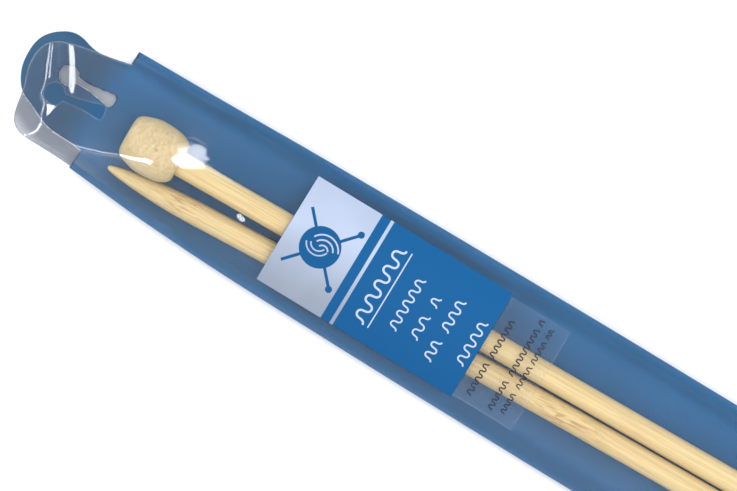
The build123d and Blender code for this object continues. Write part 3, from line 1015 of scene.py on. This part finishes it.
build_needle("a", axis_a, slope_a, face_x=A_FACE_X, sign=1, seed=1.0,
             figures=[(96.0, 9.0, 1.2), (246.0, 11.0, 2.0)])
build_needle("b", axis_b, slope_b, face_x=B_FACE_X, sign=-1, seed=2.0,
             figures=[(213.0, 11.0, 1.35), (327.0, 5.0, 1.8), (60.0, 10.0, 0.8)])


# ------------------------------------------------------------------ blue back sheet
def build_back():
    grid = plan_grid(-25, 36, -21, 21, 0.9) + plan_grid(36.4, 370, -21, 21, 1.7)
    plan, tris = plan_mesh(resample(body_outline(TONGUE), 2.2), [keyhole(*BACK_HOLE)], grid)
    back = thick_sheet("back_panel", plan, tris, back_z, BACK_T)
    x, y = plan.T
    off_centre, inner = across(x, y)
    band = off_centre - inner  # positive on the side welds

    # weld mask: the welds' ribs, and painted shade on them
    weld = np.where(x > 0, ease((band + 0.1) / 0.4), 0)
    sheet_attribute(back, "weld", np.maximum(weld, ease((x - END_WELD_X) / 0.4)))

    # painted shade: the blue is greyed and darkened on the tongue, towards -Y, and in a spot at
    # the mouth beside knob a
    pale = ease((1.0 - x) / 9.0) + 0.3 * ease((-y - 1.0) / 12.0) * (x > 0)
    pale += 0.55 * np.exp(-(((x - 4) / 6) ** 2) - (((y + 1) / 8) ** 2))
    sheet_attribute(back, "pale", np.clip(pale, 0, 1))

    # painted light: brighter along the turned-up sides, most of all beside the labels, against
    # their shade
    lift = np.where(x > 0, 0.30 * np.exp(-(((band + 3.4) / 2.4) ** 2)), 0)
    beside_labels = ease((x - 54) / 5) * ease((121 - x) / 5)
    lift += 0.55 * beside_labels * ease((band + 7) / 4) * ease((0.6 - band) / 1.5)
    sheet_attribute(back, "lift", lift)

    back.data.materials.append(blue_material())
    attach(back, "wallet")
    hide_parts("back_sheet")


build_back()


# ------------------------------------------------------------------ clear sheet and its flap
def film_grid():
    """Points for the clear sheet, closest along folds and the painted highlights."""
    coarse = plan_grid(-22.4, 32, -19.5, 19.5, 0.42) + plan_grid(32.3, 370, -21, 21, 1.5)
    fine = np.array(plan_grid(-22.4, 20, -17, 13, 0.2) + plan_grid(43.5, 48, -6, -3, 0.2))
    x, y = fine.T
    near = np.minimum.reduce(
        [-depth_inside(x, y, poly) for poly, _ in GLINTS]
        + [line_dist(x, y, spline(fold[0]))[0] for fold in FOLDS]
    )
    offset = 0.037  # keeps fine points off the coarse ones
    return np.vstack([np.array(coarse), fine[near < 0.6] + offset])


def bell(dist, width):
    return np.exp(-((dist / width) ** 2))


def build_film():
    hole = keyhole(*FLAP_HOLE, FLAP_HOLE_TURN)
    plan, tris = plan_mesh(resample(body_outline(FLAP), 1.6), [hole], film_grid())
    film = thick_sheet("front_sheet", plan, tris, film_z, FILM_T)
    x, y = plan.T
    z = film_z(x, y)
    gap = z - back_z(x, y) - BACK_T
    # the sheet stands off the blue, so what is behind it is seen a little further on
    seen_x = x - (EYE[0] - x) * np.clip(z, 0, 20) / EYE[2]
    off_blue = ~inside(seen_x, y, body_outline(TONGUE)) & (x < 2.0)
    blue_edge, _ = line_dist(seen_x, y, spline(TONGUE, 4))
    over_slot = inside(x, y, keyhole(BACK_HOLE[0] + 1.15, BACK_HOLE[1] + 0.06))
    flap_rim, _ = line_dist(x, y, spline(FLAP, 4))

    # milkiness over depth, on the flap, off the blue, towards -Y and on cut edges; along the
    # folds it is a painted highlight
    haze = 0.002 + 0.008 * ease(gap / 9.0) + 0.006 * ease(-x / 10) + 0.02 * off_blue
    haze += 0.014 * ease((-y - 2.0) / 9.0) * (x > 0)
    haze += 0.10 * bell(flap_rim, 0.28) * (x < 1)
    haze += 0.05 * bell(depth_inside(x, y, hole), 0.25)
    for line, _, _, white in FOLDS:
        dist, along = line_dist(x, y, spline(line))
        haze += white * bell(dist, 0.2) * (0.35 + 0.65 * along)
    sheet_attribute(film, "haze", haze)

    # seen from above, the ground in the gap under the sheet is dim
    shade = np.where(off_blue, 0.98 - 0.55 * ease((blue_edge - 2.0) / 6.0), 0.0)
    sheet_attribute(film, "shade", np.where(over_slot, 0.67, shade))
    # painted highlights: the turned gloss normal and its mask
    sheet_attribute(film, "glint_n", glint_normal(x, y, z))
    sheet_attribute(film, "glint", glint_mask(x, y))

    # painted shade darkens the sheet over a deep gap, on the tongue and off the blue; it is also
    # darkened along the flap's rim
    tint = 0.06 * ease((gap - 1.0) / 9.0) + 0.22 * ease((1.0 - x) / 9.0)
    tint = np.where(off_blue, 0.08, tint)
    sheet_attribute(film, "tint", np.maximum(tint, 0.30 * bell(flap_rim, 0.22) * (x < 1)))

    film.data.materials.append(film_material("clear_vinyl", tone=(0.985, 0.988, 0.993)))
    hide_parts("front_film", "front_flap")
    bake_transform(film)


build_film()


# ------------------------------------------------------------------ printed marks
def box_poly(x0, y0, x1, y1):
    return [(x0, y0), (x1, y0), (x1, y1), (x0, y1)]


def word_poly(x_top, x_base, y0, y1, weight):
    """One wavy stroke in place of a word: no letters, only its size and place.
    weight is the stroke's half width as a share of the letter height."""
    height = x_base - x_top
    count = max(1, int(round((y1 - y0) / (0.92 * height))))
    wave = (y1 - y0) / count
    turn = np.linspace(0, 2 * math.pi * count, count * 24 + 1)
    ys = wave * turn / (2 * math.pi) + 0.062 * wave * np.sin(2 * turn)
    xs = x_base - 0.40 * height + 0.32 * height * np.cos(turn)
    line = np.stack([xs, ys + y0], 1)
    along = np.gradient(line, axis=0)
    along /= np.linalg.norm(along, axis=1)[:, None]
    side = np.stack([-along[:, 1], along[:, 0]], 1) * weight * height
    return [tuple(p) for p in line + side] + [tuple(p) for p in (line - side)[::-1]]


def disc_poly(x, y, radius, count):
    angles = np.linspace(0, 2 * math.pi, count, endpoint=False)
    return [(x + radius * math.cos(a), y + radius * math.sin(a)) for a in angles]


def arc_poly(x, y, radius, half, start, end):
    """Curved band of half width half, between two angles."""
    return [
        (x + r * math.cos(a), y + r * math.sin(a))
        for r, a0, a1 in ((radius + half, start, end), (radius - half, end, start))
        for a in np.linspace(a0, a1, 14)
    ]


def bar_poly(start, end, half):
    start, end = np.array(start, float), np.array(end, float)
    along = end - start
    along /= np.hypot(*along)
    side = np.array([-along[1], along[0]]) * half
    return [tuple(start + side), tuple(start - side), tuple(end - side), tuple(end + side)]


def printed_sheet(name, box, marks, thick, materials, pitch):
    """marks: (polygon, material index). Later marks win. Returns the object and its plan."""
    x0, y0, x1, y1 = box
    rims = [resample(m, pitch) if len(m) < 60 else dedupe(m) for m, _ in marks]
    grid = plan_grid(x0, x1, y0, y1, pitch)
    plan, tris = plan_mesh(resample(box_poly(*box), pitch), [], grid, rims)
    ob = thick_sheet(name, plan, tris, label_z, thick)
    centres = plan[tris].mean(axis=1)
    index = np.zeros(len(tris), int)
    for poly, material_index in marks:
        index[inside(centres[:, 0], centres[:, 1], poly)] = material_index
    for material in materials:
        ob.data.materials.append(material)
    # only the top is printed
    per_face = np.zeros(len(ob.data.polygons), int)
    per_face[len(tris) : 2 * len(tris)] = index
    ob.data.polygons.foreach_set("material_index", per_face)
    return ob, plan


# ------------------------------------------------------------------ size label
LABEL_BOX = (57.5, -16.2, 117.3, 15.4)
SILVER, INK, PALE = 1, 2, 3
# x of the letters' top and base, y where the word starts and ends
LABEL_WORDS = (
    (83.4, 88.0, -12.0, 10.4), (92.7, 96.2, -9.0, 6.4), (98.8, 102.2, -8.2, -1.2),
    (98.8, 102.2, 1.6, 4.4), (104.6, 108.2, -11.2, -5.2), (104.6, 108.2, -2.4, 7.0),
    (112.5, 116.0, -7.8, 5.2),
)


def emblem_marks(x, y):
    """A ball of yarn with two needles crossed behind it."""
    marks = [
        (bar_poly((x + 7.6, y - 8.2 * side), (x - 7.2, y + 8.0 * side), 0.42), INK)
        for side in (1, -1)
    ]
    marks += [(disc_poly(x + 7.6, y - 8.3 * side, 0.95, 14), INK) for side in (1, -1)]
    marks.append((disc_poly(x, y, 5.6, 44), INK))
    for radius in (4.3, 2.9, 1.5):
        marks.append((arc_poly(x + 0.9, y - 0.6, radius, 0.22, 0.35, 2.6), SILVER))
    for radius in (3.4, 2.2):
        marks.append((arc_poly(x - 0.8, y + 0.9, radius, 0.2, 3.5, 5.9), SILVER))
    return marks


def build_label():
    x0, y0, _, y1 = LABEL_BOX
    inset = 0.05
    # silver block and a thin silver line
    marks = [
        (box_poly(x0 + inset, y0 + inset, 77.2, y1 - inset), SILVER),
        (box_poly(79.9, y0 + inset, 80.85, y1 - inset), SILVER),
    ]
    marks += emblem_marks(67.6, -0.4)
    marks += [(word_poly(*word, weight=0.062), PALE) for word in LABEL_WORDS]
    marks.append((box_poly(89.0, -12.0, 89.35, 10.6), PALE))
    materials = [
        print_material("label_blue", light=(0.001, 0.088, 0.255), dark=(0.001, 0.080, 0.236)),
        print_material("label_silver", light=(0.40, 0.475, 0.63), dark=(0.27, 0.31, 0.39),
                       metallic=0.3, rough=0.36),
        print_material("label_ink", light=(0.001, 0.080, 0.23), dark=(0.001, 0.076, 0.22)),
        print_material("label_pale", light=(0.46, 0.53, 0.66), dark=(0.43, 0.49, 0.62)),
    ]
    label, _ = printed_sheet(
        "size_label_print", LABEL_BOX, marks, thick=0.1, materials=materials, pitch=1.2
    )
    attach(label, "wallet")
    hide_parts("size_label")


build_label()

# ------------------------------------------------------------------ clear sticker
STICKER_BOX = (117.6, -15.5, 135.5, 14.5)
# columns as in LABEL_WORDS
STICKER_WORDS = (
    (119.6, 121.7, -13.4, -3.6), (119.6, 121.7, -1.8, 9.4),
    (126.4, 128.4, -13.8, -5.0), (126.4, 128.4, -3.4, 10.8), (126.4, 128.4, 11.8, 13.6),
    (129.9, 131.7, -13.0, -6.8), (129.9, 131.7, -5.4, 1.4), (129.9, 131.7, 2.2, 9.0),
    (129.9, 131.7, 9.8, 12.6),
)


def build_sticker():
    materials = [
        film_material("sticker_film", tone=(0.994, 0.995, 0.998)),
        print_material("sticker_ink", light=(0.035, 0.035, 0.05), dark=(0.03, 0.03, 0.045),
                       rough=0.5),
    ]
    marks = [(word_poly(*word, weight=0.09), 1) for word in STICKER_WORDS]
    sticker, plan = printed_sheet(
        "info_sticker_print", STICKER_BOX, marks, thick=0.08, materials=materials, pitch=0.9
    )
    x, y = plan.T
    x0, y0, x1, y1 = STICKER_BOX
    rim = np.minimum.reduce([x - x0, x1 - x, y - y0, y1 - y])
    sheet_attribute(sticker, "haze", 0.002 + 0.05 * (1 - ease(rim / 0.3)))
    sheet_attribute(sticker, "tint", np.full(len(plan), 0.004))
    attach(sticker, "wallet")
    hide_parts("info_sticker")


build_sticker()


# ------------------------------------------------------------------ floor, metres
def build_floor():
    half, z = 4, -0.0002
    corners = [(-half, -half, z), (half, -half, z), (half, half, z), (-half, half, z)]
    floor = new_object("floor", corners, [(0, 1, 2, 3)], smooth=False)
    nodes = new_material("floor_paper")
    place = nodes.add("TexCoord").outputs["Object"]
    tone = nodes.noise(place, scale=3.0, detail=2.0, rough=0.5)
    colour = nodes.ramp(tone, [(0.3, (0.93, 0.93, 0.935)), (0.7, (0.95, 0.95, 0.955))])
    floor.data.materials.append(nodes.surface(nodes.add("BsdfDiffuse", {0: colour}).outputs[0]))


build_floor()

# ------------------------------------------------------------------ light, metres
# a broad soft dome: height of the direction (0 level, 1 overhead), brightness
DOME = [(0.0, 0.72), (0.4, 0.86), (0.78, 1.15), (0.92, 1.45), (1.0, 1.55)]
DOME_GAIN = 1.27


def build_world():
    world = bpy.data.worlds.new("studio")
    bpy.context.scene.world = world
    nodes = Nodes(world, "OutputWorld")
    direction = nodes.add("TexCoord").outputs["Generated"]
    height = nodes.math("MAXIMUM", nodes.component(direction, "Z"), 0.0)
    # colours are kept at half brightness, and the strength doubles them
    colour = nodes.ramp(height, [(at, (level / 2,) * 3) for at, level in DOME])
    background = {"Color": colour, "Strength": 2 * DOME_GAIN}
    nodes.surface(nodes.add("Background", background).outputs[0])


def build_key():
    """Disc lamp aimed at the mouth of the wallet."""
    size, radiance, distance = 0.56, 13.0, 3.0
    from_zenith, azimuth = math.radians(19.0), math.radians(33.0)
    aim = Vector(((MOUTH_X + 10) * MM, 0.0, 0.012))
    place = aim + distance * Vector((
        math.sin(from_zenith) * math.cos(azimuth),
        math.sin(from_zenith) * math.sin(azimuth),
        math.cos(from_zenith),
    ))
    light = bpy.data.lights.new("key", "AREA")
    light.shape = "DISK"
    light.size = size
    light.energy = radiance * math.pi * (math.pi * (size / 2) ** 2)
    key = bpy.data.objects.new("key", light)
    bpy.context.scene.collection.objects.link(key)
    key.location = place
    key.rotation_euler = (place - aim).to_track_quat("Z", "Y").to_euler()


build_world()
build_key()


# ------------------------------------------------------------------ camera
def build_camera():
    """Looks straight down, turned about the vertical."""
    data = bpy.data.cameras.new("camera")
    data.lens, data.sensor_width = 200, 36
    data.clip_start, data.clip_end = 0.01, 20
    camera = bpy.data.objects.new("camera", data)
    bpy.context.scene.collection.objects.link(camera)
    camera.location = ((MOUTH_X + EYE[0]) * MM, EYE[1] * MM, EYE[2] * MM)
    camera.rotation_euler = (0, 0, math.radians(31.24))
    bpy.context.scene.camera = camera
    bpy.context.scene.view_settings.view_transform = "Standard"


build_camera()
